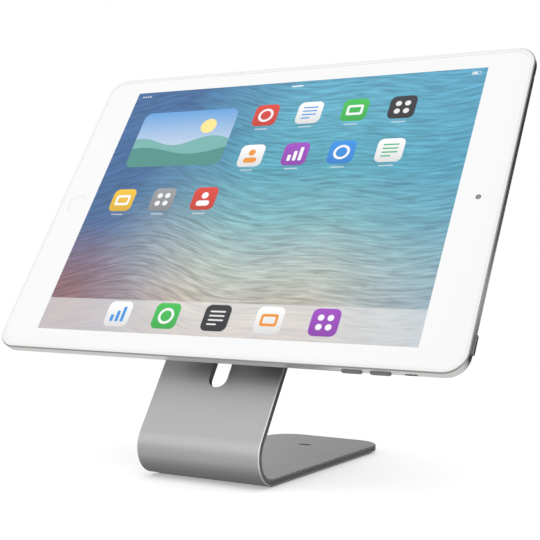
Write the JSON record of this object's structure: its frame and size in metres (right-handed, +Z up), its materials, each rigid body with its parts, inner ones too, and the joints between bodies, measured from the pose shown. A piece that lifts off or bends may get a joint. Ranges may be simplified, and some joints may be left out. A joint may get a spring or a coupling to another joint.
{
  "type": "tablet security kiosk stand",
  "caption": "Bent aluminium kiosk stand with a white-fronted tablet bonded to its leaning panel, a cable slot, a lock slot, press buttons and a slide switch.",
  "frame": {"origin": "on the table, under the middle of the flat part of the base", "axes": "+X to the right along the tablet's long side, seen from the front; -Y towards the viewer; +Z up"},
  "size_m": [0.2407, 0.131, 0.1966],
  "materials": {
    "stand_aluminium": "fine bead-blasted, clear anodised",
    "mount_aluminium": "machined and anodised",
    "casing_aluminium": "bead-blasted, clear anodised",
    "button_aluminium": "bead-blasted, clear anodised",
    "base_rubber": "matt",
    "adhesive_foam": "closed-cell foam tape",
    "screw_steel": "plain",
    "tray_steel": "pressed sheet",
    "port_steel": "plain",
    "can_steel": "tinned sheet",
    "trim_steel": "polished",
    "gasket_plastic": "moulded",
    "home_button_plastic": "gloss",
    "switch_plastic": "laminate and moulded switch",
    "module_plastic": "moulded",
    "camera_black": "moulded",
    "cell_wrap": "foil pouch",
    "board_laminate": "solder mask",
    "flex_film": "polyimide film",
    "display": "display module",
    "front_glass": "gloss, printed white from behind round the display",
    "camera_glass": "gloss"
  },
  "bodies": {
    "root": {"stand_body": "stand_aluminium", "base_pad": "base_rubber", "spacer_block": "mount_aluminium", "security_screws": "screw_steel", "bond_plate": "mount_aluminium", "adhesive_pad": "adhesive_foam", "rear_shell": "casing_aluminium", "glass_gasket": "gasket_plastic", "cover_glass": "front_glass", "display_panel": "display", "backlight_tray": "tray_steel", "home_switch": "switch_plastic", "home_strap": "tray_steel", "volume_switch_board": "switch_plastic", "power_switch_board": "switch_plastic", "charging_port": "port_steel", "speakers": "module_plastic", "headphone_jack": "module_plastic", "front_camera": "camera_black", "rear_camera": "camera_black", "rear_camera_trim": "trim_steel", "rear_camera_window": "camera_glass", "microphone": "port_steel", "battery_cells": "cell_wrap", "logic_board": "board_laminate", "shield_cans": "can_steel", "display_flex": "flex_film", "antenna_modules": "module_plastic"},
    "home_button": {"home_button": "home_button_plastic"},
    "volume_up": {"volume_up_button": "button_aluminium"},
    "volume_down": {"volume_down_button": "button_aluminium"},
    "mute_switch": {"side_switch": "button_aluminium"},
    "power": {"power_button": "button_aluminium"}
  },
  "joints": [
    {"name": "home_press", "type": "slide", "parent": "root", "child": "home_button", "axis": [0, 0.8387, -0.5446], "range_m": [0, 0.0004], "stiffness_N_per_m": 400, "springref_m": -0.0005},
    {"name": "volume_up_press", "type": "slide", "parent": "root", "child": "volume_up", "axis": [0, 0.5446, 0.8387], "range_m": [0, 0.0003], "stiffness_N_per_m": 400, "springref_m": -0.0005},
    {"name": "volume_down_press", "type": "slide", "parent": "root", "child": "volume_down", "axis": [0, 0.5446, 0.8387], "range_m": [0, 0.0003], "stiffness_N_per_m": 400, "springref_m": -0.0005},
    {"name": "power_press", "type": "slide", "parent": "root", "child": "power", "axis": [-1, 0, 0], "range_m": [0, 0.0003], "stiffness_N_per_m": 400, "springref_m": -0.0005},
    {"name": "mute_slide", "type": "slide", "parent": "root", "child": "mute_switch", "axis": [-1, 0, 0], "range_m": [0, 0.0018]}
  ]
}
